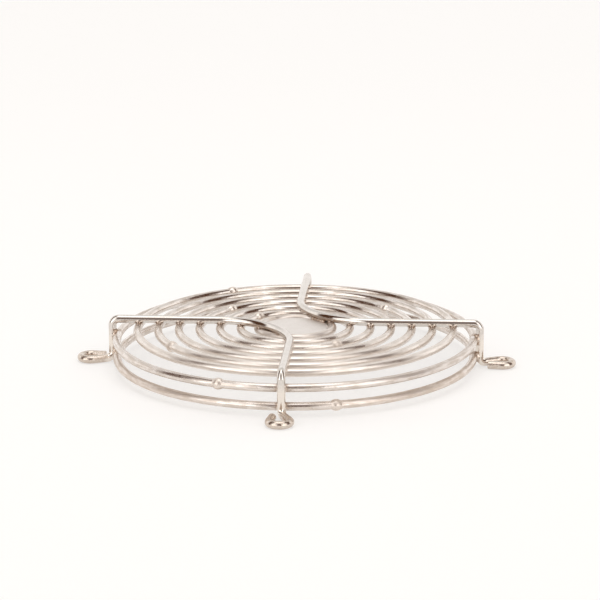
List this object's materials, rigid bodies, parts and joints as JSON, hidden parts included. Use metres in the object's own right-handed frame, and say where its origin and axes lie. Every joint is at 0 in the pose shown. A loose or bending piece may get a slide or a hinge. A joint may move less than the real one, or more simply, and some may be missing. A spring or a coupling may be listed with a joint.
{
  "type": "wire fan guard",
  "caption": "Round welded wire guard for an axial fan: concentric plated rings over a raised cage, centre disc, arms ending in screw eyes.",
  "frame": {"origin": "centre of the fan, on the plane that the undersides of the four eyes rest on", "axes": "+Z away from the fan, towards the flat rings and the arms; the arms run along X and Y, with +X to the right and -Y to the front"},
  "size_m": [0.1728, 0.1728, 0.0189],
  "materials": {
    "plated_wire": "bright nickel-chrome plate on steel wire",
    "plated_disc": "satin nickel-chrome plate on sheet steel"
  },
  "bodies": {
    "root": {"outer_ring_lower": "plated_wire", "outer_ring_upper": "plated_wire", "guard_ring_1": "plated_wire", "guard_ring_2": "plated_wire", "guard_ring_3": "plated_wire", "guard_ring_4": "plated_wire", "guard_ring_5": "plated_wire", "guard_ring_6": "plated_wire", "guard_ring_7": "plated_wire", "support_wire_back_right": "plated_wire", "support_wire_front_left": "plated_wire", "centre_disc": "plated_disc"}
  },
  "joints": []
}
